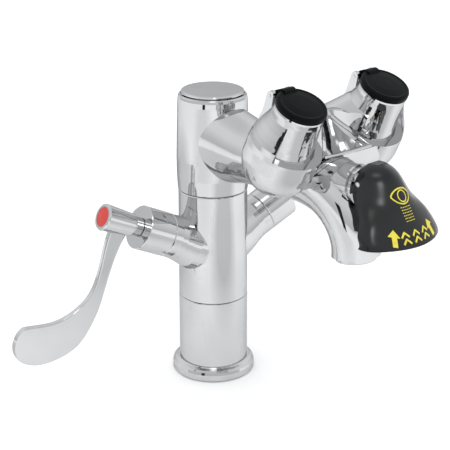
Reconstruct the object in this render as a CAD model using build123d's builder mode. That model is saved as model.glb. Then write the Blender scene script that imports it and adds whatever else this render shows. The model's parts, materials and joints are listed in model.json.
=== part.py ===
# Deck eyewash station: a pillar with two wrist-blade valves, a swivelling head casting with two
# capped eyewash bowls, a spout with an aerator, and a lift paddle that works a diverter.
# Millimetres, +Z up, the spout points along -Y, the origin is the centre of the base's underside.
import math
import os
from build123d import *

os.makedirs("parts", exist_ok=True)

# ---- driving dimensions -------------------------------------------------------------------
FLANGE_R = 27.2
FLANGE_H = 8.7
PILLAR_R = 22.6
PILLAR_BORE_R = 18.5
VALVE_Z0 = 54.0
VALVE_Z1 = 126.6
VALVE_R = 22.4
BRANCH_Z = 84.6
BRANCH_RISE = 25.5
BRANCH_TURN = -7.7
BRANCH_R = 13.9
BRANCH_END = 41.0
SLEEVE_END = 60.6
STEM_R = 5.0
NECK_R = 6.0
DIVERTER_R = 3.0
HUB_START = 67.0
HUB_END = 88.5
COLD_REST_TURN = 62.0
HEAD_TOP = 189.3
CAP_TOP = 191.4
HEAD_X = 32.9
HEAD_Y = -112.6
HEAD_Z = 208.4
HEAD_LEAN = 25.4
LID_R = 14.6
MOUTH_R = 12.7
LEDGE_DROP = 24.8
BOWL_R = 22.0
BOWL_DROP = 34.5
PIN_BACK = 17.2
PIN_DROP = 2.2
ARM_R = 20.0
ARM_Z = 158.5
OUTLET_Y = -127.0
OUTLET_Z = 119.6
OUTLET_TILT = 7.0
MOUNT_Z = 162.0
MOUNT_R = 11.0
HEADER_R = 20.8
HEADER_Y = -98.0
HEADER_Z = 177.3
PIVOT_Y = -140.0
PIVOT_Z = 168.5
FIT = 0.05


def save(built, name):
    built.part.label = name
    export_step(built.part, "parts/" + name + ".step")


def turned(points, plane, mode=Mode.ADD, arc=360.0):
    with BuildSketch(plane, mode=Mode.PRIVATE) as outline:
        with BuildLine():
            Polyline(*points, close=True)
        make_face()
    revolve(outline.sketch, axis=Axis(plane.origin, plane.y_dir), revolution_arc=arc, mode=mode)


def ring(plane, r_in, r_out, h0, h1, mode=Mode.ADD):
    turned([(r_in, h0), (r_out, h0), (r_out, h1), (r_in, h1)], plane, mode)


def rod(plane, radius, h0, h1, mode=Mode.ADD):
    turned([(0, h0), (radius, h0), (radius, h1), (0, h1)], plane, mode)


def slab(x0, x1, y0, y1, z0, z1, mode=Mode.ADD):
    with Locations(((x0 + x1) / 2, (y0 + y1) / 2, (z0 + z1) / 2)):
        Box(x1 - x0, y1 - y0, z1 - z0, mode=mode)


def axis_plane(origin, radial, along):
    # a sketch plane whose x runs along the radius and whose y runs along the turning axis
    return Plane(origin=origin, x_dir=radial, z_dir=Vector(*radial).cross(Vector(*along)))


UPRIGHT = axis_plane((0, 0, 0), (1, 0, 0), (0, 0, 1))

# ---- base flange, gasket, fixing bush, pillar ---------------------------------------------
with BuildPart() as base_flange:
    turned([(20.3, 0), (FLANGE_R - 0.6, 0), (FLANGE_R, 0.6), (FLANGE_R, 4.6), (FLANGE_R - 0.5, 6.2),
            (FLANGE_R - 1.7, 7.4), (FLANGE_R - 3.3, 8.1), (PILLAR_R + 0.6, FLANGE_H),
            (20.3, FLANGE_H)], UPRIGHT)
    ring(UPRIGHT, 21.6, 25.2, 0, 1.4, Mode.SUBTRACT)
save(base_flange, "base_flange")

with BuildPart() as base_gasket:
    ring(UPRIGHT, 21.7, 25.1, 0, 1.35)
save(base_gasket, "base_gasket")

with BuildPart() as pillar:
    turned([(PILLAR_BORE_R, 1.5), (20.25, 1.5), (20.25, FLANGE_H + 0.05), (PILLAR_R, FLANGE_H + 0.05),
            (PILLAR_R, VALVE_Z0 - 0.5), (PILLAR_R - 0.4, VALVE_Z0 - 0.1),
            (PILLAR_BORE_R, VALVE_Z0 - 0.1)], UPRIGHT)
save(pillar, "pillar")

with BuildPart() as fixing_bush:
    rod(UPRIGHT, PILLAR_BORE_R - 0.05, 0, 16.0)
    rod(UPRIGHT, 4.25, -1, 17.0, Mode.SUBTRACT)
    for side in (-1, 1):
        with Locations((10.6 * side, 0, 9)):
            Cylinder(4.95, 22, mode=Mode.SUBTRACT)
    fillet(fixing_bush.edges().filter_by(GeomType.CIRCLE).group_by(Axis.Z)[-1], 0.5)
save(fixing_bush, "fixing_bush")

for side, tag in ((-1, "hot"), (1, "cold")):
    with BuildPart() as supply_tube:
        with Locations((10.6 * side, 0, 30)):
            Cylinder(4.9, 57)
            Cylinder(3.8, 57, mode=Mode.SUBTRACT)
    save(supply_tube, tag + "_supply_tube")

# ---- valve body and its two branches ------------------------------------------------------
rise = math.radians(BRANCH_RISE)
turn = math.radians(BRANCH_TURN)
CROSS = Vector(math.cos(turn), math.sin(turn), 0)


def branch_out(side):
    return CROSS * (side * math.cos(rise)) + Vector(0, 0, math.sin(rise))


def branch_down(side):
    return CROSS * (side * math.sin(rise)) - Vector(0, 0, math.cos(rise))


def branch_plane(side, twist=0.0):
    # x leads away from the branch axis (down at no twist, towards the back as twist grows)
    out = branch_out(side)
    down = branch_down(side)
    back = out.cross(down) * side
    spin = math.radians(twist)
    radial = down * math.cos(spin) + back * math.sin(spin)
    return Plane(origin=(0, 0, BRANCH_Z), x_dir=radial, z_dir=radial.cross(out))


with BuildPart() as valve_body:
    turned([(0, VALVE_Z0 - 8.0), (PILLAR_BORE_R - FIT, VALVE_Z0 - 8.0),
            (PILLAR_BORE_R - FIT, VALVE_Z0), (VALVE_R - 0.4, VALVE_Z0),
            (VALVE_R + 0.1, VALVE_Z0 + 0.5), (VALVE_R + 0.1, VALVE_Z0 + 12), (VALVE_R - 0.2, VALVE_Z1 - 6),
            (VALVE_R - 0.2, VALVE_Z1 - 0.5), (VALVE_R - 0.6, VALVE_Z1), (16.95, VALVE_Z1),
            (16.95, VALVE_Z1 + 14.4), (0, VALVE_Z1 + 14.4)], UPRIGHT)
    for side in (-1, 1):
        turned([(0, 0), (17.4, 0), (17.4, 16), (16.6, 21), (15.2, 26.5), (14.3, 31), (BRANCH_R, 35),
                (BRANCH_R, BRANCH_END - 0.4), (BRANCH_R - 0.4, BRANCH_END), (0, BRANCH_END)],
               branch_plane(side))
    for side in (-1, 1):
        rod(branch_plane(side), 10.5, 16.0, BRANCH_END + 1, Mode.SUBTRACT)
        rod(branch_plane(side), 4.5, 4.0, 17.0, Mode.SUBTRACT)
        with Locations((10.6 * side, 0, VALVE_Z0 - 3)):
            Cylinder(4.95, 16, mode=Mode.SUBTRACT)
        with Locations((10.6 * side, 0, 72)):
            Cylinder(3.8, 40, mode=Mode.SUBTRACT)
    rod(UPRIGHT, 12.5, BRANCH_Z + 4, VALVE_Z1 + 20, Mode.SUBTRACT)
    for groove in (VALVE_Z1 + 3.0, VALVE_Z1 + 8.4):
        ring(UPRIGHT, 14.9, 17.5, groove, groove + 2.6, Mode.SUBTRACT)
save(valve_body, "valve_body")

for number, groove in ((1, VALVE_Z1 + 3.0), (2, VALVE_Z1 + 8.4)):
    with BuildPart() as swivel_seal:
        ring(UPRIGHT, 14.95, 16.93, groove + 0.1, groove + 2.5)
    save(swivel_seal, "swivel_seal_" + str(number))

with BuildPart() as swivel_retainer:
    ring(UPRIGHT, 12.6, 18.4, VALVE_Z1 + 14.5, VALVE_Z1 + 17.5)
save(swivel_retainer, "swivel_retainer")

BLADE_OUTER = [(6.0, 80.6), (14.0, 80.2), (28.0, 78.0), (41.0, 76.7), (50.0, 77.6), (58.0, 81.2),
               (65.0, 86.6), (71.0, 94.0), (75.0, 103.0), (78.4, 112.6)]
BLADE_INNER = [(6.0, 68.4), (14.0, 69.6), (28.0, 69.8), (42.0, 68.8), (55.0, 67.8), (66.0, 68.4),
               (76.0, 70.2), (84.0, 73.6), (90.5, 79.2), (95.6, 86.0), (99.4, 93.4), (100.8, 101.0),
               (99.6, 108.4)]
BLADE_TIP = (89.5, 115.6)
BLADE_HALF = 2.1

for side, tag, twist in ((-1, "hot", 0.0), (1, "cold", COLD_REST_TURN)):
    bore_plane = branch_plane(side, twist)
    with BuildPart() as sleeve:
        turned([(12.2, BRANCH_END + 0.05), (BRANCH_R - 0.4, BRANCH_END + 0.05),
                (BRANCH_R + 0.1, BRANCH_END + 0.6), (BRANCH_R + 0.1, SLEEVE_END - 0.4),
                (BRANCH_R - 0.2, SLEEVE_END), (NECK_R - 0.5, SLEEVE_END), (NECK_R - 0.5, SLEEVE_END - 1.8),
                (12.9, SLEEVE_END - 1.8), (12.9, 45.0), (12.2, 44.4)], bore_plane)
    save(sleeve, tag + "_sleeve")

    with BuildPart() as cartridge:
        rod(bore_plane, 10.45, 16.1, 43.0)
        rod(bore_plane, 12.0, 43.0, 46.0)
        rod(bore_plane, 8.0, 46.0, 53.0)
        rod(bore_plane, 9.75, 17.5, 24.5, Mode.SUBTRACT)
        rod(bore_plane, 3.2, 15.0, 18.0, Mode.SUBTRACT)
        rod(bore_plane, STEM_R + FIT, 24.0, 54.0, Mode.SUBTRACT)
        ring(bore_plane, 10.0, 11.0, 30.0, 32.0, Mode.SUBTRACT)
    save(cartridge, tag + "_cartridge")

    with BuildPart() as cartridge_seal:
        ring(bore_plane, 10.05, 10.48, 30.1, 31.9)
    save(cartridge_seal, tag + "_cartridge_seal")

    with BuildPart() as valve_disc:
        rod(bore_plane, 9.4, 18.0, 21.4)
        with Locations(Plane(origin=bore_plane.origin, x_dir=bore_plane.x_dir, z_dir=bore_plane.y_dir)):
            with Locations((5.2, 0, 19.5)):
                Cylinder(2.4, 6, mode=Mode.SUBTRACT)
    save(valve_disc, tag + "_valve_disc")

    with BuildPart() as stem:
        rod(bore_plane, 8.4, 21.5, 23.4)
        rod(bore_plane, STEM_R, 23.4, 71.0)
        rod(bore_plane, 3.8, 71.0, 82.0)
        rod(bore_plane, 1.6, 72.0, 83.0, Mode.SUBTRACT)
    save(stem, tag + "_stem")

    with BuildPart() as handle:
        turned([(0, SLEEVE_END + 0.4), (NECK_R, SLEEVE_END + 0.4), (NECK_R, HUB_START), (6.7, HUB_START),
                (7.1, HUB_START + 0.4), (8.55, HUB_END - 1.0), (8.2, HUB_END - 0.3), (7.6, HUB_END),
                (0, HUB_END)], bore_plane)
        with BuildSketch(bore_plane) as blade_outline:
            with BuildLine():
                outer_edge = Spline(*BLADE_OUTER)
                inner_edge = Spline(*BLADE_INNER)
                tip_edge = ThreePointArc(BLADE_OUTER[-1], BLADE_TIP, BLADE_INNER[-1])
                root_edge = Line(BLADE_OUTER[0], BLADE_INNER[0])
            make_face()
        extrude(amount=BLADE_HALF, both=True)
        blade_rim = handle.edges().filter_by(lambda e: e.length > 18 and e.geom_type != GeomType.CIRCLE)
        fillet(blade_rim, 1.2)
        rod(bore_plane, 6.3, HUB_END - 2.0, HUB_END + 1, Mode.SUBTRACT)
        rod(bore_plane, 4.0, HUB_END - 5.0, HUB_END - 1.5, Mode.SUBTRACT)
        rod(bore_plane, 2.1, 80.0, HUB_END - 4.0, Mode.SUBTRACT)
        rod(bore_plane, 3.85, 70.0, 82.2, Mode.SUBTRACT)
        rod(bore_plane, STEM_R + FIT, SLEEVE_END, 71.1, Mode.SUBTRACT)
    save(handle, tag + "_handle")

    with BuildPart() as handle_screw:
        rod(bore_plane, 3.7, HUB_END - 4.9, HUB_END - 2.4)
        rod(bore_plane, 1.55, 74.0, HUB_END - 4.9)
        with Locations(Plane(origin=bore_plane.origin, x_dir=bore_plane.x_dir, z_dir=bore_plane.y_dir)):
            with Locations((0, 0, HUB_END - 2.6)):
                Box(5.0, 0.9, 1.6, mode=Mode.SUBTRACT)
    save(handle_screw, tag + "_handle_screw")

    with BuildPart() as index_button:
        turned([(0, HUB_END - 1.95), (6.2, HUB_END - 1.95), (6.2, HUB_END - 0.1), (5.6, HUB_END + 0.15),
                (0, HUB_END + 0.35)], bore_plane)
    save(index_button, tag + "_index_button")

# ---- head casting -------------------------------------------------------------------------
lean = math.radians(HEAD_LEAN)
HEAD_UP = (0, -math.sin(lean), math.cos(lean))
HEAD_BACK = (0, math.cos(lean), math.sin(lean))


def head_origin(side):
    return (side * HEAD_X, HEAD_Y, HEAD_Z)


def head_plane(side, radial=(1, 0, 0)):
    return axis_plane(head_origin(side), radial, HEAD_UP)


def head_radial(degrees):
    # unit vector across the head, counted from its front towards the object's right
    swing = math.radians(degrees)
    return tuple(Vector(math.sin(swing), 0, 0) - Vector(*HEAD_BACK) * math.cos(swing))


def head_flat(side):
    # x to the side, y to the back, z up the head's axis
    return Plane(origin=head_origin(side), x_dir=(1, 0, 0), z_dir=HEAD_UP)


def head_side(side):
    # sketch plane seen from the side: x to the back, y up the head's axis
    return Plane(origin=head_origin(side), x_dir=HEAD_BACK, z_dir=(1, 0, 0))


tilt = math.radians(OUTLET_TILT)
OUTLET_DOWN = (0, -math.sin(tilt), -math.cos(tilt))
OUTLET = axis_plane((0, OUTLET_Y, OUTLET_Z), (1, 0, 0), OUTLET_DOWN)
FORWARD = axis_plane((0, 0, MOUNT_Z), (1, 0, 0), (0, -1, 0))

SPOUT_STATIONS = [(0.0, ARM_Z, 0.0, ARM_R), (-40.0, 159.3, 0.0, 19.6), (-76.0, 160.0, 2.0, 19.0),
                  (-100.0, 157.0, 20.0, 18.2), (-115.0, 148.5, 47.0, 16.8), (-124.0, 135.5, 70.0, 15.2),
                  (OUTLET_Y, OUTLET_Z, 90.0 - OUTLET_TILT, 14.3)]

BELL = [(9.0, 0.0), (13.9, 0.0), (14.2, -1.0), (14.3, -3.0), (14.7, -5.5), (15.6, -8.0), (16.8, -11.0),
        (18.2, -14.0), (19.5, -17.0), (20.6, -20.0), (21.3, -23.0), (21.8, -26.5), (21.8, -29.0)]

# flank that joins each bell to the web between the bowls: drop, shift inwards, shift back, radius
FLANK = [(9.0, 0.0, 0.0, 15.2), (27.0, 16.0, 3.0, 21.4)]
# pocket cut into the web: place along y, half width, floor height, depth of its corners
POCKET = [(-96.5, 4.0, 197.4, 0.8), (-102.5, 9.0, 189.2, 2.0), (-110.0, 15.0, 182.3, 1.6),
          (-117.0, 18.4, 178.9, 0.8), (-128.0, 24.0, 174.0, 0.8)]
POCKET_TOP = 216.0


def flank_ring(side, drop, inwards, back, radius):
    centre = Vector(*head_origin(side)) - Vector(*HEAD_UP) * drop + Vector(*HEAD_BACK) * back
    centre = centre - Vector(side * inwards, 0, 0)
    with BuildSketch(Plane(origin=centre, x_dir=(1, 0, 0), z_dir=HEAD_UP), mode=Mode.PRIVATE) as flank:
        Circle(radius)
    return flank.sketch


def pocket_section(y, half, floor, corner):
    # a flat-bottomed trough, seen from the front
    with BuildSketch(Plane(origin=(0, y, 0), x_dir=(1, 0, 0), z_dir=(0, -1, 0)),
                     mode=Mode.PRIVATE) as trough:
        with BuildLine():
            Polyline((-half, POCKET_TOP), (-half, floor + corner), (-half * 0.75, floor),
                     (half * 0.75, floor), (half, floor + corner), (half, POCKET_TOP), close=True)
        make_face()
    return trough.sketch


bumper_out = Vector(*head_radial(-43))
bumper_spot = Vector(*head_origin(1)) + bumper_out * 13.9 - Vector(*HEAD_UP) * 3.4
with BuildPart() as lid_bumper:
    with BuildSketch(Plane(origin=bumper_spot, x_dir=Vector(*HEAD_UP).cross(bumper_out), z_dir=bumper_out)):
        SlotOverall(5.4, 3.2)
    extrude(amount=0.9)
save(lid_bumper, "lid_bumper")

with BuildPart() as head_casting:
    turned([(0, VALVE_Z1 + 0.15), (VALVE_R - 0.7, VALVE_Z1 + 0.15), (VALVE_R + 0.1, VALVE_Z1 + 1.0),
            (23.0, VALVE_Z1 + 10.0), (23.1, 148.0), (22.7, 165.0), (22.2, 184.0), (22.0, HEAD_TOP - 2.2),
            (21.6, HEAD_TOP - 0.8), (20.9, HEAD_TOP), (0, HEAD_TOP)], UPRIGHT)
    spout_rings = []
    for y, z, drop, radius in SPOUT_STATIONS:
        angle = math.radians(drop)
        with BuildSketch(Plane(origin=(0, y, z), x_dir=(1, 0, 0),
                               z_dir=(0, -math.cos(angle), -math.sin(angle))),
                         mode=Mode.PRIVATE) as spout_ring:
            Circle(radius)
        spout_rings.append(spout_ring.sketch)
    loft(spout_rings)
    with Locations(Plane(origin=(0, HEADER_Y, HEADER_Z), z_dir=(1, 0, 0))):
        Cylinder(HEADER_R, 2 * HEAD_X - 0.8)
    for side in (-1, 1):
        loft([flank_ring(side, *row) for row in FLANK])
    loft([pocket_section(*row) for row in POCKET], mode=Mode.SUBTRACT)
    for side in (-1, 1):
        plane = head_plane(side, (side, 0, 0))
        with BuildSketch(plane, mode=Mode.PRIVATE) as bell_outline:
            with BuildLine():
                rim = Polyline((0, 0), *BELL[1:], (21.8, -30.0), (21.9, -BOWL_DROP))
                ThreePointArc((21.9, -BOWL_DROP), (15.4, -BOWL_DROP - 15.6), (0, -BOWL_DROP - BOWL_R))
                Line((0, -BOWL_DROP - BOWL_R), (0, 0))
            make_face()
        revolve(bell_outline.sketch, axis=Axis(plane.origin, plane.y_dir))
        with BuildSketch(head_side(side).offset(-7.4), mode=Mode.PRIVATE) as ear_outline:
            with BuildLine():
                Polyline((10, -20), (13.6, -5.5), (14.9, -0.6), (15.6, 0.7), (17.3, 0.9), (19.0, 0.2),
                         (19.7, -1.2), (19.6, -4.0), (19.0, -9.0), (18.7, -14.0), (19.4, -17.0),
                         (19.0, -20.0), close=True)
            make_face()
        extrude(ear_outline.sketch, amount=14.8)
    for side in (-1, 1):
        turned([(14.35, -4.0), (14.5, -8.0), (14.9, -14.0), (15.6, -20.0), (16.6, -LEDGE_DROP),
                (34, -LEDGE_DROP), (34, -4.0)], head_plane(side, head_radial(-62)), Mode.SUBTRACT, 92.0)
        plane = head_plane(side)
        rod(plane, MOUTH_R, -15.5, 1, Mode.SUBTRACT)
        rod(plane, 7.0, -46.0, -15.0, Mode.SUBTRACT)
        with Locations(head_flat(side)):
            with Locations((0, 19.3, -2.9)):
                Box(9.4, 11.0, 8.2, mode=Mode.SUBTRACT)
        with Locations(head_side(side)):
            with Locations((PIN_BACK, -PIN_DROP, 0)):
                Cylinder(1.05, 20, mode=Mode.SUBTRACT)
    ring(UPRIGHT, 0.0, 17.0, VALVE_Z1 - 1, VALVE_Z1 + 14.6, Mode.SUBTRACT)
    ring(UPRIGHT, 0.0, 18.8, VALVE_Z1 + 14.3, 177.0, Mode.SUBTRACT)
    ring(UPRIGHT, 0.0, 17.0, 176.0, HEAD_TOP + 1, Mode.SUBTRACT)
    ring(UPRIGHT, 0.0, 20.1, HEAD_TOP - 2.6, HEAD_TOP + 1, Mode.SUBTRACT)
    rod(axis_plane((0, 0, 160.0), (1, 0, 0), (0, -1, 0)), 9.0, 0, 112.0, Mode.SUBTRACT)
    rod(FORWARD, MOUNT_R + FIT, 100.2, 150.0, Mode.SUBTRACT)
    rod(FORWARD, MOUNT_R + 1.2, 124.5, 150.0, Mode.SUBTRACT)
    rod(OUTLET, 10.3, -10.0, 5.0, Mode.SUBTRACT)
    rod(OUTLET, 8.0, -34.0, 5.0, Mode.SUBTRACT)
    with Locations(Plane(origin=(0, -98.0, 170.0), z_dir=(1, 0, 0))):
        Cylinder(5.5, 2 * HEAD_X, mode=Mode.SUBTRACT)
    add(lid_bumper.part, mode=Mode.SUBTRACT)
save(head_casting, "head_casting")

with BuildPart() as top_cap:
    turned([(0, 178.5), (15.4, 178.5), (16.9, 180.0), (16.9, HEAD_TOP - 2.5), (19.9, HEAD_TOP - 2.5),
            (19.9, HEAD_TOP - 0.4), (19.2, HEAD_TOP - 0.1), (19.2, HEAD_TOP + 0.4), (19.9, HEAD_TOP + 0.7),
            (19.9, CAP_TOP - 0.9), (19.6, CAP_TOP - 0.3), (19.0, CAP_TOP), (0, CAP_TOP)], UPRIGHT)
    ring(UPRIGHT, 15.2, 17.5, 182.0, 184.4, Mode.SUBTRACT)
save(top_cap, "top_cap")

with BuildPart() as top_cap_seal:
    ring(UPRIGHT, 15.25, 16.95, 182.1, 184.3)
save(top_cap_seal, "top_cap_seal")

# ---- eyewash heads: screens, diffusers, lids and their pins --------------------------------
for side, tag in ((-1, "left"), (1, "right")):
    flat = head_flat(side)
    plane = head_plane(side)
    with BuildPart() as screen:
        rod(plane, MOUTH_R - 0.1, -15.4, -14.6)
        with Locations(flat):
            with Locations((0, 0, -15)):
                with GridLocations(4.2, 4.2, 5, 5):
                    Cylinder(1.3, 4, mode=Mode.SUBTRACT)
    save(screen, tag + "_screen")

    with BuildPart() as diffuser:
        turned([(0, -6.0), (10.4, -6.0), (10.9, -4.4), (MOUTH_R - 0.1, -4.4), (MOUTH_R - 0.1, -14.5),
                (10.6, -14.5), (10.6, -8.2), (0, -8.2)], plane)
        with Locations(flat):
            with Locations((0, 0, -7)):
                Cylinder(1.2, 6, mode=Mode.SUBTRACT)
                with PolarLocations(4.2, 6):
                    Cylinder(0.9, 6, mode=Mode.SUBTRACT)
                with PolarLocations(7.8, 12):
                    Cylinder(0.9, 6, mode=Mode.SUBTRACT)
    save(diffuser, tag + "_diffuser")

    with BuildPart() as lid:
        turned([(0, -2.2), (11.6, -2.2), (12.1, -1.8), (12.1, 0.3), (LID_R - 0.2, 0.3), (LID_R, 0.6),
                (LID_R, 2.6), (LID_R - 0.4, 3.5), (LID_R - 1.4, 4.1), (LID_R - 2.2, 4.1), (LID_R - 2.9, 3.9),
                (7.0, 4.35), (0, 4.5)], plane)
        rod(plane, 10.6, -3, -0.2, Mode.SUBTRACT)
        with BuildSketch(head_side(side).offset(-4.2), mode=Mode.PRIVATE) as knuckle_outline:
            with BuildLine():
                Polyline((9.8, 1.0), (9.9, 4.2), (11.0, 4.9), (12.6, 5.1), (14.2, 4.5), (16.0, 2.8),
                         (17.8, 0.9), (18.9, -0.8), (19.3, -2.6), (18.7, -4.1), (17.4, -4.7), (16.0, -4.5),
                         (15.0, -3.6), (14.8, -2.2), (14.8, 0.5), close=True)
            make_face()
        extrude(knuckle_outline.sketch, amount=8.4)
        with Locations(head_side(side)):
            with Locations((PIN_BACK, -PIN_DROP, 0)):
                Cylinder(1.05, 20, mode=Mode.SUBTRACT)
        with Locations(flat):
            with PolarLocations(LID_R + 0.9, 1, start_angle=-148):
                Cylinder(1.7, 3.0, mode=Mode.SUBTRACT)
    save(lid, tag + "_lid")

    with BuildPart() as lid_pin:
        with Locations(head_side(side)):
            with Locations((PIN_BACK, -PIN_DROP, 0)):
                Cylinder(1.0, 15.2)
    save(lid_pin, tag + "_lid_pin")


# ---- spout aerator ------------------------------------------------------------------------
with BuildPart() as aerator_shell:
    turned([(8.6, -9.0), (10.2, -9.0), (10.2, 0.1), (11.4, 0.1), (11.9, 0.6), (11.9, 2.2), (11.5, 2.8),
            (9.4, 2.8), (9.4, 0.6), (8.6, 0.2)], OUTLET)
save(aerator_shell, "aerator_shell")

with BuildPart() as aerator_insert:
    rod(OUTLET, 8.5, -6.0, 0.2)
    rod(OUTLET, 9.3, 0.65, 1.8)
    rod(OUTLET, 8.4, 0.1, 0.7)
    with Locations(Plane(origin=(0, OUTLET_Y, OUTLET_Z), x_dir=(1, 0, 0), z_dir=OUTLET_DOWN)):
        with Locations((0, 0, -2)):
            with GridLocations(3.0, 3.0, 4, 4):
                Cylinder(1.0, 14, mode=Mode.SUBTRACT)
save(aerator_insert, "aerator_insert")

with BuildPart() as aerator_washer:
    ring(OUTLET, 8.1, 10.1, -9.9, -9.1)
save(aerator_washer, "aerator_washer")

# ---- diverter mount, stem and lift paddle ---------------------------------------------------
with BuildPart() as paddle_mount:
    turned([(DIVERTER_R + FIT, 100.3), (MOUNT_R, 100.3), (MOUNT_R, 125.2), (MOUNT_R + 0.7, 125.6),
            (MOUNT_R + 0.7, 127.4), (MOUNT_R - 0.6, 127.8), (MOUNT_R - 0.6, 128.8),
            (MOUNT_R + 0.2, 129.2), (MOUNT_R + 0.2, 130.8), (9.4, 131.6), (8.2, 134.0),
            (DIVERTER_R + FIT, 134.0)], FORWARD)
    for side in (-1, 1):
        slab(7.4 * side - 1.1, 7.4 * side + 1.1, -143.0, -131.5, 160.0, 171.4)
    with Locations(Plane(origin=(0, PIVOT_Y, PIVOT_Z), z_dir=(1, 0, 0))):
        Cylinder(1.56, 24, mode=Mode.SUBTRACT)
save(paddle_mount, "paddle_mount")

with BuildPart() as diverter_stem:
    rod(FORWARD, DIVERTER_R, 88.5, 135.0)
    slab(-2.4, 2.4, -144.0, -134.6, 158.6, 166.0)
    slab(-3.0, 3.0, PIVOT_Y - 1.5, PIVOT_Y + 1.5, 161.0, 165.2, Mode.SUBTRACT)
save(diverter_stem, "diverter_stem")

with BuildPart() as diverter_poppet:
    ring(FORWARD, DIVERTER_R, 5.5, 89.5, 92.5)
save(diverter_poppet, "diverter_poppet")

# plan sections of the paddle: height, half width, back edge, front
HOOD = [(139.3, 29.2, -155.4, -174.4), (144.5, 28.0, -153.8, -171.2), (148.5, 26.2, -152.2, -168.6),
        (152.5, 23.8, -150.4, -166.0), (157.0, 21.0, -145.6, -163.2), (162.3, 18.0, -139.6, -160.2),
        (168.0, 15.4, -137.5, -156.6), (172.5, 12.6, -137.3, -153.2), (175.8, 8.9, -137.3, -149.2),
        (177.9, 4.0, -137.4, -143.4)]
WALL = 2.3


def hood_section(height, half, back, front):
    deep = front - back
    with BuildSketch(Plane.XY.offset(height), mode=Mode.PRIVATE) as section:
        with BuildLine():
            Spline((-half, back), (-half * 0.97, back + deep * 0.32), (-half * 0.72, back + deep * 0.67),
                   (0, front), (half * 0.72, back + deep * 0.67), (half * 0.97, back + deep * 0.32),
                   (half, back))
            Line((half, back), (-half, back))
        make_face()
    return section.sketch


with BuildPart() as lift_paddle:
    loft([hood_section(*row) for row in HOOD])
    loft([hood_section(z - (1.5 if z < 140 else 0.0), half - WALL, back + 5.0, front + WALL)
          for z, half, back, front in HOOD[:-1]], mode=Mode.SUBTRACT)
    for side in (-1, 1):
        with BuildSketch(Plane(origin=(4.1 * side - 1.0, 0, 0), x_dir=(0, 1, 0), z_dir=(1, 0, 0)),
                         mode=Mode.PRIVATE) as rib_outline:
            with BuildLine():
                Polyline((-137.8, 160.6), (-137.8, 171.4), (-152.6, 171.4), (-159.6, 160.6), close=True)
            make_face()
        extrude(rib_outline.sketch, amount=2.0)
    with Locations(Plane(origin=(0, PIVOT_Y, PIVOT_Z - 6.0), z_dir=(1, 0, 0))):
        Cylinder(1.2, 9.0)
    with Locations(Plane(origin=(0, PIVOT_Y, PIVOT_Z), z_dir=(1, 0, 0))):
        Cylinder(1.5, 50, mode=Mode.SUBTRACT)
save(lift_paddle, "lift_paddle")

with BuildPart() as paddle_pin:
    with Locations(Plane(origin=(0, PIVOT_Y, PIVOT_Z), z_dir=(1, 0, 0))):
        Cylinder(1.5, 30.2)
save(paddle_pin, "paddle_pin")
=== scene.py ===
"""Looks of the deck eyewash station: chrome castings, satin black lids and paddle, printed marks."""
import json
import math

import bmesh
import bpy
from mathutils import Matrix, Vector
from mathutils.bvhtree import BVHTree


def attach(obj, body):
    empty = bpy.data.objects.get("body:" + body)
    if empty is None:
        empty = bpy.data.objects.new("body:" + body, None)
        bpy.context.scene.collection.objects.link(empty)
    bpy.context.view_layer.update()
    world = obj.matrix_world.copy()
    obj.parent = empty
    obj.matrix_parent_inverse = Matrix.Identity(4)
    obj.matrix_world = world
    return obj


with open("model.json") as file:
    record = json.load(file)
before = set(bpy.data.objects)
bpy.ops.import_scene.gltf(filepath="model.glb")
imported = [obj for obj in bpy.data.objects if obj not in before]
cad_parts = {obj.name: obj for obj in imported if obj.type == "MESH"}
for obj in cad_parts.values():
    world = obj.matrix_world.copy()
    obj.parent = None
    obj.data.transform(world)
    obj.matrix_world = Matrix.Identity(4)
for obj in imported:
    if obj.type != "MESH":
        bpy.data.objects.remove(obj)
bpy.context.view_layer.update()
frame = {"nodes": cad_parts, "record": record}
MM = 0.001

# ---- camera: the photograph's viewing angle -------------------------------------------------
CAMERA_PLACE = Vector((-491.7, -584.2, 394.7)) * MM
CAMERA_TURN = (68.93, 0.0, -40.67)
CAMERA_LENS = 100.81
CAMERA_SENSOR = 36.0
CAMERA_NEAR = 0.02
CAMERA_FAR = 60.0


def make_camera():
    data = bpy.data.cameras.new("camera")
    data.lens = CAMERA_LENS
    data.sensor_width = CAMERA_SENSOR
    data.clip_start = CAMERA_NEAR
    data.clip_end = CAMERA_FAR
    camera = bpy.data.objects.new("camera", data)
    camera.location = CAMERA_PLACE
    camera.rotation_euler = [math.radians(angle) for angle in CAMERA_TURN]
    bpy.context.scene.collection.objects.link(camera)
    bpy.context.scene.camera = camera


# ---- material building blocks ---------------------------------------------------------------
# most of a noise texture's values lie between these two
NOISE_LOW = 0.3
NOISE_HIGH = 0.7
GRAIN_DETAIL = 4.0
GRAIN_ROUGHNESS = 0.6
COAT_ROUGHNESS = 0.12


def new_material(name):
    material = bpy.data.materials.new(name)
    material.use_nodes = True
    tree = material.node_tree
    shader = tree.nodes["Principled BSDF"]
    place = tree.nodes.new("ShaderNodeTexCoord")
    return material, tree, shader, place.outputs["Object"]


def noise(tree, place, scale, detail=2.0, roughness=0.5, stretch=(1.0, 1.0, 1.0)):
    mapping = tree.nodes.new("ShaderNodeMapping")
    mapping.inputs["Scale"].default_value = stretch
    tree.links.new(place, mapping.inputs["Vector"])
    texture = tree.nodes.new("ShaderNodeTexNoise")
    texture.inputs["Scale"].default_value = scale
    texture.inputs["Detail"].default_value = detail
    texture.inputs["Roughness"].default_value = roughness
    tree.links.new(mapping.outputs["Vector"], texture.inputs["Vector"])
    return texture.outputs["Fac"]


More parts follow.
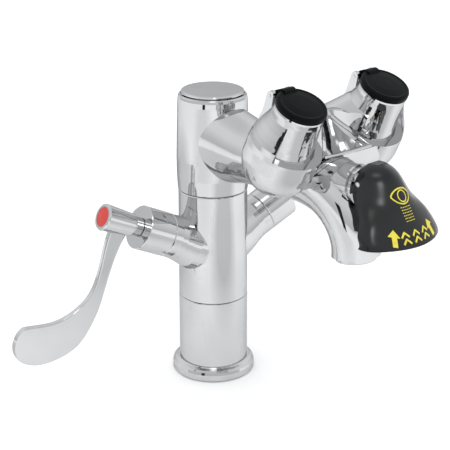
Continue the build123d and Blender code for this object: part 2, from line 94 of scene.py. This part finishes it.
def spread(tree, value, low, high, start=NOISE_LOW, end=NOISE_HIGH):
    # maps a value that runs from start to end to one that runs from low to high
    span = tree.nodes.new("ShaderNodeMapRange")
    span.inputs["From Min"].default_value = start
    span.inputs["From Max"].default_value = end
    span.inputs["To Min"].default_value = low
    span.inputs["To Max"].default_value = high
    tree.links.new(value, span.inputs["Value"])
    return span.outputs["Result"]


def tint(tree, value, first, second):
    ramp = tree.nodes.new("ShaderNodeValToRGB")
    ramp.color_ramp.elements[0].position = NOISE_LOW
    ramp.color_ramp.elements[0].color = (*first, 1.0)
    ramp.color_ramp.elements[1].position = NOISE_HIGH
    ramp.color_ramp.elements[1].color = (*second, 1.0)
    tree.links.new(value, ramp.inputs["Fac"])
    return ramp.outputs["Color"]


def bump(tree, shader, value, strength, depth):
    node = tree.nodes.new("ShaderNodeBump")
    node.inputs["Strength"].default_value = strength
    node.inputs["Distance"].default_value = depth
    tree.links.new(value, node.inputs["Height"])
    tree.links.new(node.outputs["Normal"], shader.inputs["Normal"])


def finish_material(name, first, second, rough, grain, depth, metallic=0.0, stretch=(1, 1, 1),
                    coat=0.0, strength=0.4, wide=60.0, specular=0.5):
    # colour drifts between two tones, roughness between two values, with a fine surface grain
    material, tree, shader, place = new_material(name)
    shader.inputs["Metallic"].default_value = metallic
    shader.inputs["Coat Weight"].default_value = coat
    shader.inputs["Coat Roughness"].default_value = COAT_ROUGHNESS
    shader.inputs["Specular IOR Level"].default_value = specular
    broad = noise(tree, place, wide)
    fine = noise(tree, place, grain, detail=GRAIN_DETAIL, roughness=GRAIN_ROUGHNESS, stretch=stretch)
    tree.links.new(tint(tree, broad, first, second), shader.inputs["Base Color"])
    tree.links.new(spread(tree, fine, *rough), shader.inputs["Roughness"])
    bump(tree, shader, fine, strength, depth)
    return material


def fading_material(name, gradient, tone, strength, share, reach):
    # a studio card's light: full around the middle, then fading out to clear at the edge
    material = bpy.data.materials.new(name)
    material.use_nodes = True
    tree = material.node_tree
    tree.nodes.clear()
    place = tree.nodes.new("ShaderNodeTexCoord")
    fade = tree.nodes.new("ShaderNodeTexGradient")
    fade.gradient_type = gradient
    tree.links.new(place.outputs["Object"], fade.inputs["Vector"])
    light = tree.nodes.new("ShaderNodeEmission")
    light.inputs["Color"].default_value = (tone, tone, tone, 1.0)
    light.inputs["Strength"].default_value = strength
    clear = tree.nodes.new("ShaderNodeBsdfTransparent")
    mix = tree.nodes.new("ShaderNodeMixShader")
    amount = spread(tree, fade.outputs["Fac"], 0.0, share, start=0.0, end=reach)
    tree.links.new(amount, mix.inputs["Fac"])
    tree.links.new(clear.outputs["BSDF"], mix.inputs[1])
    tree.links.new(light.outputs["Emission"], mix.inputs[2])
    out = tree.nodes.new("ShaderNodeOutputMaterial")
    tree.links.new(mix.outputs["Shader"], out.inputs["Surface"])
    return material


# ---- materials, one for each slot -------------------------------------------------------------
CHROME_TONES = ((0.57, 0.575, 0.58), (0.61, 0.615, 0.62))
CHROME_EDGE_TINT = (0.62, 0.63, 0.64, 1.0)
CHROME_ROUGHNESS = (0.035, 0.075)
CHROME_HAZE_SCALE = 420.0
CHROME_RIPPLE_SCALE = 38.0
CHROME_RIPPLE_STRENGTH = 0.12
CHROME_RIPPLE_DEPTH = 0.0003


def chrome_material():
    # bright plate over a polished casting: a long, shallow ripple under a clean mirror, darker at its rims
    material, tree, shader, place = new_material("chrome_plate")
    shader.inputs["Metallic"].default_value = 1.0
    shader.inputs["Specular Tint"].default_value = CHROME_EDGE_TINT
    ripple = noise(tree, place, CHROME_RIPPLE_SCALE, detail=1.0)
    haze = noise(tree, place, CHROME_HAZE_SCALE, detail=3.0)
    tree.links.new(tint(tree, ripple, *CHROME_TONES), shader.inputs["Base Color"])
    tree.links.new(spread(tree, haze, *CHROME_ROUGHNESS), shader.inputs["Roughness"])
    bump(tree, shader, ripple, CHROME_RIPPLE_STRENGTH, CHROME_RIPPLE_DEPTH)
    return material


def metal_materials():
    brass = finish_material("machined_brass", (0.60, 0.43, 0.17), (0.74, 0.57, 0.27), (0.16, 0.30),
                            900.0, 0.00002, metallic=1.0, stretch=(1, 1, 6))
    copper = finish_material("drawn_copper", (0.62, 0.31, 0.17), (0.78, 0.44, 0.28), (0.18, 0.34),
                             700.0, 0.00002, metallic=1.0, stretch=(6, 6, 1))
    stainless = finish_material("turned_stainless", (0.52, 0.52, 0.51), (0.66, 0.66, 0.65), (0.16, 0.32),
                                1400.0, 0.00002, metallic=1.0, stretch=(8, 1, 1))
    return {"chrome": chrome_material(), "brass": brass, "copper": copper, "stainless": stainless}


def inner_materials():
    rubber = finish_material("seal_rubber", (0.012, 0.012, 0.012), (0.028, 0.028, 0.027), (0.55, 0.75),
                             1500.0, 0.00005)
    plastic = finish_material("grey_moulding", (0.34, 0.35, 0.36), (0.42, 0.43, 0.44), (0.35, 0.5),
                              1800.0, 0.00003)
    ceramic = finish_material("lapped_ceramic", (0.78, 0.78, 0.74), (0.86, 0.86, 0.83), (0.18, 0.28),
                              1600.0, 0.00001, coat=0.3)
    return {"rubber_black": rubber, "grey_plastic": plastic, "ceramic_white": ceramic}


def moulded_materials():
    lid = finish_material("lid_moulding", (0.0016, 0.0024, 0.0025), (0.003, 0.0039, 0.004), (0.40, 0.50),
                          2200.0, 0.00002, specular=0.07)
    paddle = finish_material("paddle_moulding", (0.003, 0.0040, 0.0042), (0.005, 0.0061, 0.0063),
                             (0.18, 0.23), 2400.0, 0.00003, specular=0.44)
    yellow = finish_material("printed_yellow", (0.64, 0.55, 0.025), (0.72, 0.64, 0.07), (0.40, 0.55),
                             2600.0, 0.00002, wide=400.0)
    red = finish_material("index_red", (0.46, 0.022, 0.018), (0.56, 0.035, 0.026), (0.25, 0.35),
                          1500.0, 0.00001)
    blue = finish_material("index_blue", (0.02, 0.10, 0.50), (0.04, 0.15, 0.62), (0.25, 0.35),
                           1500.0, 0.00001)
    return {"lid_black": lid, "paddle_black": paddle, "print_yellow": yellow, "index_red": red,
            "index_blue": blue}


def stage_materials():
    floor = finish_material("pale_floor", (0.93, 0.93, 0.93), (0.95, 0.95, 0.95), (0.8, 0.9),
                            40.0, 0.0001, wide=1.5)
    card = finish_material("card_black", (0.004, 0.004, 0.004), (0.006, 0.006, 0.006), (0.8, 0.9),
                           60.0, 0.0001)
    return {"floor": floor, "card": card}


def dress_nodes(made):
    for row in frame["record"]["subparts"]:
        piece = frame["nodes"][row["node"]]
        piece.data.materials.clear()
        piece.data.materials.append(made[row["material_slot"]])


# ---- printed marks on the paddle, millimetres across and up ----------------------------------
INK_STEP = 0.5
INK_CELL = 0.7
INK_PROUD = 0.05
INK_THICK = 0.16
# metres: points closer than this are one, and a place well in front of the paddle
INK_WELD = 1e-7
IN_FRONT = -0.3

ARROW_PLACE = 15.4
ARROW_FOOT = 141.0
ARROW_TALL = 8.2
ARROW_LEAN = 2.2
ARROW_SHAFT = 2.7
ARROW_HEAD = 6.6
ARROW_POINT = 0.1
# shares of the arrow's height: where its shaft ends, and how soon the head is at its widest
ARROW_NECK = 0.56
ARROW_BARB = 0.002

CHEVRON_PITCH = 7.6
CHEVRON_FOOT = 141.6
CHEVRON_RISE = 3.2
CHEVRON_SIZE = (5.0, 2.4)
CHEVRON_WIDTH = 1.0

EYE_HEIGHT = 164.0
EYE_LID_SHIFT = 3.6
EYE_LID_RADII = (7.8, 7.4)
EYE_LID_ENDS = (29, 151)
EYE_LID_WIDTH = 0.7
IRIS_RADII = (2.8, 2.8)
IRIS_WIDTH = 0.6

SPRAY_TOP = 158.6
SPRAY_PITCH = 1.35
SPRAY_HALF = 3.9
SPRAY_TAPER = 0.1
SPRAY_ROWS = 6
SPRAY_CELLS = 6
SPRAY_GAPS = (0.2, 0.25)
SPRAY_WIDTH = 0.42


def paddle_surface():
    node = frame["nodes"]["lift_paddle"]
    return BVHTree.FromPolygons([v.co.copy() for v in node.data.vertices],
                                [tuple(p.vertices) for p in node.data.polygons])


def on_paddle(surface, across, up):
    # the point of the paddle's front face at this place, a little proud of it
    start = Vector((across * MM, IN_FRONT, up * MM))
    place, normal, _, _ = surface.ray_cast(start, Vector((0, 1, 0)))
    if place is None:
        return None
    if normal.y > 0:
        normal = -normal
    return place + normal * INK_PROUD * MM


def densified(points):
    # points: (across, up, width); adds steps so that a stroke follows the curved face
    made = [points[0]]
    for first, second in zip(points, points[1:]):
        length = math.hypot(second[0] - first[0], second[1] - first[1])
        steps = max(1, math.ceil(length / INK_STEP))
        for step in range(1, steps + 1):
            share = step / steps
            made.append(tuple(a + (b - a) * share for a, b in zip(first, second)))
    return made


def neighbours(path, index, closed):
    # a closed path ends on its first point
    last = len(path) - 1
    if closed:
        return path[(index - 1) % last], path[(index + 1) % last]
    return path[max(index - 1, 0)], path[min(index + 1, last)]


def add_stroke(mesh, surface, points, closed):
    path = densified(points)
    widest = max(width for _, _, width in points)
    count = max(2, math.ceil(widest / INK_CELL)) + 1
    rows = []
    for index, (across, up, width) in enumerate(path):
        before, after = neighbours(path, index, closed)
        run = Vector((after[0] - before[0], after[1] - before[1]))
        run.normalize()
        side = Vector((-run.y, run.x)) * width / 2
        row = []
        for step in range(count):
            share = 2 * step / (count - 1) - 1
            place = on_paddle(surface, across + side.x * share, up + side.y * share)
            row.append(mesh.verts.new(place) if place else None)
        rows.append(row)
    for row, following in zip(rows, rows[1:]):
        for index in range(len(row) - 1):
            corners = (row[index], following[index], following[index + 1], row[index + 1])
            if None not in corners:
                mesh.faces.new(corners)


def print_piece(name, surface, strokes, made):
    mesh = bmesh.new()
    for points, closed in strokes:
        add_stroke(mesh, surface, points, closed)
    bmesh.ops.remove_doubles(mesh, verts=mesh.verts, dist=INK_WELD)
    bmesh.ops.recalc_face_normals(mesh, faces=mesh.faces)
    if sum(face.normal.y for face in mesh.faces) > 0:
        bmesh.ops.reverse_faces(mesh, faces=mesh.faces)
    data = bpy.data.meshes.new(name)
    mesh.to_mesh(data)
    mesh.free()
    piece = bpy.data.objects.new(name, data)
    bpy.context.scene.collection.objects.link(piece)
    thick = piece.modifiers.new("ink_thickness", "SOLIDIFY")
    thick.thickness = INK_THICK * MM
    thick.offset = -1.0
    for polygon in data.polygons:
        polygon.use_smooth = True
    data.materials.append(made["print_yellow"])
    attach(piece, "paddle")


def arc_points(centre, radii, first, last, width, steps=24):
    made = []
    for step in range(steps + 1):
        angle = math.radians(first + (last - first) * step / steps)
        across = centre[0] + radii[0] * math.cos(angle)
        up = centre[1] + radii[1] * math.sin(angle)
        made.append((across, up, width))
    return made


def arrow(across, lean):
    # stands on its foot and leans towards the middle as it rises
    barb = ARROW_NECK + ARROW_BARB
    points = [(across, ARROW_FOOT, ARROW_SHAFT),
              (across + lean * ARROW_NECK, ARROW_FOOT + ARROW_TALL * ARROW_NECK, ARROW_SHAFT),
              (across + lean * barb, ARROW_FOOT + ARROW_TALL * barb, ARROW_HEAD),
              (across + lean, ARROW_FOOT + ARROW_TALL, ARROW_POINT)]
    return points, False


def chevron(across, up):
    wide, tall = CHEVRON_SIZE
    points = [(across - wide / 2, up, CHEVRON_WIDTH), (across, up + tall, CHEVRON_WIDTH),
              (across + wide / 2, up, CHEVRON_WIDTH)]
    return points, False


def chevrons():
    made = []
    for across in (-CHEVRON_PITCH, 0.0, CHEVRON_PITCH):
        for rise in (0.0, CHEVRON_RISE):
            made.append(chevron(across, CHEVRON_FOOT + rise))
    return made


def eye():
    # two lids, each an arc about a centre on the other's side, and a round iris
    first, last = EYE_LID_ENDS
    upper = arc_points((0.0, EYE_HEIGHT - EYE_LID_SHIFT), EYE_LID_RADII, first, last, EYE_LID_WIDTH)
    lower = arc_points((0.0, EYE_HEIGHT + EYE_LID_SHIFT), EYE_LID_RADII, first + 180, last + 180,
                       EYE_LID_WIDTH)
    iris = arc_points((0.0, EYE_HEIGHT), IRIS_RADII, 0, 360, IRIS_WIDTH)
    return [(upper, False), (lower, False), (iris, True)]


def spray():
    # rows of short dashes below the eye, each row a little narrower than the one above it
    made = []
    for row in range(SPRAY_ROWS):
        height = SPRAY_TOP - SPRAY_PITCH * row
        half = SPRAY_HALF - SPRAY_TAPER * row
        cell_wide = 2 * half / SPRAY_CELLS
        for cell in range(SPRAY_CELLS):
            left = -half + cell_wide * cell
            dash = [(left + SPRAY_GAPS[0], height, SPRAY_WIDTH),
                    (left + cell_wide - SPRAY_GAPS[1], height, SPRAY_WIDTH)]
            made.append((dash, False))
    return made


def make_print(made):
    surface = paddle_surface()
    arrows = [arrow(-ARROW_PLACE, ARROW_LEAN), arrow(ARROW_PLACE, -ARROW_LEAN)]
    print_piece("print_arrows", surface, arrows, made)
    print_piece("print_chevrons", surface, chevrons(), made)
    print_piece("print_eye", surface, eye(), made)
    print_piece("print_spray", surface, spray(), made)


# ---- rounded ridges along the web between the bowls -------------------------------------------
# millimetres, from the web's top edge forward and down to the corner of the front lip
RIDGE = [(4.6, -98.6, 195.2), (6.4, -100.6, 192.8), (9.4, -103.2, 189.8), (13.4, -107.2, 186.0),
         (16.6, -112.2, 181.6), (18.6, -117.2, 178.7)]
LIP = [(-18.6, -117.2, 178.6), (-9.0, -117.4, 178.5), (9.0, -117.4, 178.5), (18.6, -117.2, 178.6)]
RIDGE_RADIUS = 1.3
RIDGE_ORDER = 3
RIDGE_ROUNDNESS = 5
RIDGE_STEPS = 10


def ridge_piece(name, points, made):
    data = bpy.data.curves.new(name, "CURVE")
    data.dimensions = "3D"
    data.bevel_depth = RIDGE_RADIUS * MM
    data.bevel_resolution = RIDGE_ROUNDNESS
    data.resolution_u = RIDGE_STEPS
    data.use_fill_caps = True
    line = data.splines.new("NURBS")
    line.points.add(len(points) - 1)
    for control, point in zip(line.points, points):
        control.co = (*(Vector(point) * MM), 1.0)
    line.order_u = RIDGE_ORDER
    line.use_endpoint_u = True
    piece = bpy.data.objects.new(name, data)
    bpy.context.scene.collection.objects.link(piece)
    data.materials.append(made["chrome"])
    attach(piece, "spout_head")


def make_ridges(made):
    ridge_piece("web_ridge_right", RIDGE, made)
    ridge_piece("web_ridge_left", [(-x, y, z) for x, y, z in RIDGE], made)
    ridge_piece("web_front_lip", LIP, made)


# ---- floor, world, lights: metres and degrees ------------------------------------------------
AIM = Vector((-0.02, -0.06, 0.12))
FLOOR_HALF = 25.0
FLOOR_CELLS = 8
FLOOR_DROP = 0.0002

# the room is a little brighter behind the object than on the camera's side
BRIGHT_WALL_AZIMUTH = 65
WALL_TONES = (0.9, 1.0)
WALL_TURN = (-0.7, 0.8)
ROOM_COLOUR = (0.985, 0.99, 1.0, 1.0)
# brightness of the room by height, from the horizon up to straight overhead
ROOM_TONES = [(0.1, 0.80), (0.45, 1.05), (0.68, 1.05), (0.86, 0.85)]

# a place in the studio is its azimuth, elevation and distance from the aim point
OVERHEAD_PLACE = (230, 88, 4.0)
OVERHEAD_SIZE = (8.0, 8.0)
OVERHEAD_RADIANCE = 0.85
KEY_PLACE = (237, 47, 1.4)
KEY_SIZE = (0.22, 0.22)
KEY_RADIANCE = 9.0
# softboxes that only reflections see: name, place, radius, radiance
GLOWS = [("key_glow", KEY_PLACE, 0.20, 12.0), ("top_glow", (225, 77, 1.4), 0.34, 3.2)]
GLOW_REACH = 0.6
# grey pools on the floor that only reflections see, each at its own height:
# name, azimuth, distance, radius, lift, tone, share
SHADES = [("shade_left", 122, 0.36, 0.34, 0.0004, 0.4, 0.4),
          ("shade_front", 265, 0.30, 0.22, 0.0008, 0.4, 0.5),
          ("shade_back", 50, 0.50, 0.42, 0.0012, 0.3, 0.7),
          ("shade_far", 200, 0.62, 0.40, 0.0016, 0.6, 0.35)]
SHADE_REACH = 0.5
# an upright dark card that only reflections see
FLAG_AZIMUTH = 199
FLAG_DISTANCE = 0.9
FLAG_WIDE = 0.15
FLAG_TALL = 0.42
CARD_SQUARE = [(-1, -1, 0), (1, -1, 0), (1, 1, 0), (-1, 1, 0)]


def direction(azimuth, elevation):
    a, e = math.radians(azimuth), math.radians(elevation)
    return Vector((math.cos(a) * math.cos(e), math.sin(a) * math.cos(e), math.sin(e)))


def face_aim(piece, azimuth, elevation, distance):
    # stands the piece off from the aim point, with its face turned to it
    out = direction(azimuth, elevation)
    piece.location = AIM + out * distance
    piece.rotation_euler = out.to_track_quat("Z", "Y").to_euler()


def make_floor(made):
    mesh = bmesh.new()
    bmesh.ops.create_grid(mesh, x_segments=FLOOR_CELLS, y_segments=FLOOR_CELLS, size=FLOOR_HALF)
    data = bpy.data.meshes.new("floor")
    mesh.to_mesh(data)
    mesh.free()
    floor = bpy.data.objects.new("floor", data)
    floor.location = (0, 0, -FLOOR_DROP)
    bpy.context.scene.collection.objects.link(floor)
    data.materials.append(made["floor"])


def wall_tone(tree, place):
    towards = tree.nodes.new("ShaderNodeVectorMath")
    towards.operation = "DOT_PRODUCT"
    towards.inputs[1].default_value = direction(BRIGHT_WALL_AZIMUTH, 0)
    tree.links.new(place, towards.inputs[0])
    return spread(tree, towards.outputs["Value"], *WALL_TONES, *WALL_TURN)


def height_tone(tree, place):
    split = tree.nodes.new("ShaderNodeSeparateXYZ")
    tree.links.new(place, split.inputs["Vector"])
    ramp = tree.nodes.new("ShaderNodeValToRGB")
    stops = ramp.color_ramp.elements
    while len(stops) < len(ROOM_TONES):
        stops.new(0.5)
    for stop, (height, tone) in zip(stops, ROOM_TONES):
        stop.position = height
        stop.color = (tone, tone, tone, 1.0)
    tree.links.new(split.outputs["Z"], ramp.inputs["Fac"])
    return ramp.outputs["Color"]


def make_world():
    # the object reflects a softly graded room, and behind it the camera sees plain white
    world = bpy.data.worlds.new("studio")
    world.use_nodes = True
    tree = world.node_tree
    background = tree.nodes["Background"]
    place = tree.nodes.new("ShaderNodeTexCoord").outputs["Generated"]
    room = tree.nodes.new("ShaderNodeMath")
    room.operation = "MULTIPLY"
    tree.links.new(wall_tone(tree, place), room.inputs[0])
    tree.links.new(height_tone(tree, place), room.inputs[1])
    seen = tree.nodes.new("ShaderNodeLightPath")
    backdrop = tree.nodes.new("ShaderNodeMath")
    backdrop.operation = "MAXIMUM"
    tree.links.new(room.outputs["Value"], backdrop.inputs[0])
    tree.links.new(seen.outputs["Is Camera Ray"], backdrop.inputs[1])
    background.inputs["Color"].default_value = ROOM_COLOUR
    tree.links.new(backdrop.outputs["Value"], background.inputs["Strength"])
    bpy.context.scene.world = world


def area_light(name, place, size, radiance):
    # lights the object but isn't mirrored in the chrome
    data = bpy.data.lights.new(name, "AREA")
    data.shape = "RECTANGLE"
    data.size, data.size_y = size
    data.energy = radiance * math.pi * size[0] * size[1]
    light = bpy.data.objects.new(name, data)
    face_aim(light, *place)
    light.visible_glossy = False
    bpy.context.scene.collection.objects.link(light)


def reflection_card(name, corners, material):
    # a studio card that only reflections see
    mesh = bmesh.new()
    mesh.faces.new([mesh.verts.new(corner) for corner in corners])
    data = bpy.data.meshes.new(name)
    mesh.to_mesh(data)
    mesh.free()
    card = bpy.data.objects.new(name, data)
    card.visible_camera = False
    card.visible_shadow = False
    card.visible_diffuse = False
    data.materials.append(material)
    bpy.context.scene.collection.objects.link(card)
    return card


def glow_card(name, place, radius, radiance):
    material = fading_material(name, "QUADRATIC_SPHERE", 1.0, radiance, 1.0, GLOW_REACH)
    card = reflection_card(name, CARD_SQUARE, material)
    face_aim(card, *place)
    card.scale = (radius, radius, radius)


def shade_card(name, azimuth, distance, radius, lift, tone, share):
    material = fading_material(name, "SPHERICAL", tone, 1.0, share, SHADE_REACH)
    card = reflection_card(name, CARD_SQUARE, material)
    card.location = direction(azimuth, 0) * distance + Vector((0, 0, lift))
    card.scale = (radius, radius, radius)


def dark_flag(name, made):
    side = direction(FLAG_AZIMUTH + 90, 0) * FLAG_WIDE / 2
    foot = Vector((AIM.x, AIM.y, 0)) + direction(FLAG_AZIMUTH, 0) * FLAG_DISTANCE
    top = Vector((0, 0, FLAG_TALL))
    corners = [foot - side, foot + side, foot + side + top, foot - side + top]
    reflection_card(name, corners, made["card"])


def make_studio(made):
    bpy.context.scene.view_settings.view_transform = "Standard"
    make_world()
    make_floor(made)
    area_light("overhead_bank", OVERHEAD_PLACE, OVERHEAD_SIZE, OVERHEAD_RADIANCE)
    area_light("key_softbox", KEY_PLACE, KEY_SIZE, KEY_RADIANCE)
    for row in GLOWS:
        glow_card(*row)
    for row in SHADES:
        shade_card(*row)
    dark_flag("card_left", made)


materials = {**metal_materials(), **inner_materials(), **moulded_materials(), **stage_materials()}
make_camera()
make_studio(materials)
dress_nodes(materials)
make_print(materials)
make_ridges(materials)
